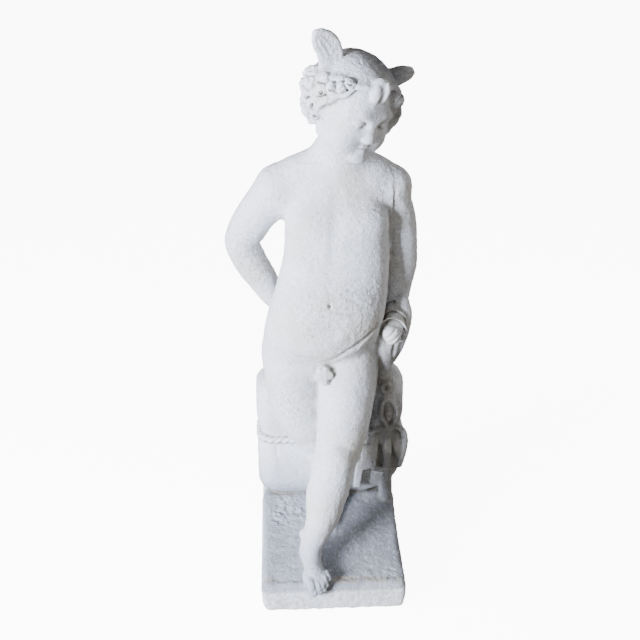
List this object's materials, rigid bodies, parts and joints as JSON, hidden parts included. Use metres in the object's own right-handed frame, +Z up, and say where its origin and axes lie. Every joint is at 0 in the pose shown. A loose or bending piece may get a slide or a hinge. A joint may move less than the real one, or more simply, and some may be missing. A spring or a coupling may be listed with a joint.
{
  "type": "winged-cap child garden statue",
  "caption": "Cast garden figure of a child in a winged cap, resting against a roped bale with one leg crossed in front, on an oblong plinth that it stands on.",
  "frame": {"origin": "middle of the plinth's underside", "axes": "+Z up, the statue faces -Y, +X is at the right of someone who looks at its front"},
  "size_m": [0.3767, 0.3947, 1.0804],
  "materials": {
    "painted_cast_stone": "cast stone under worn white masonry paint, matt, pitted"
  },
  "bodies": {
    "root": {"statue": "painted_cast_stone"}
  },
  "joints": []
}
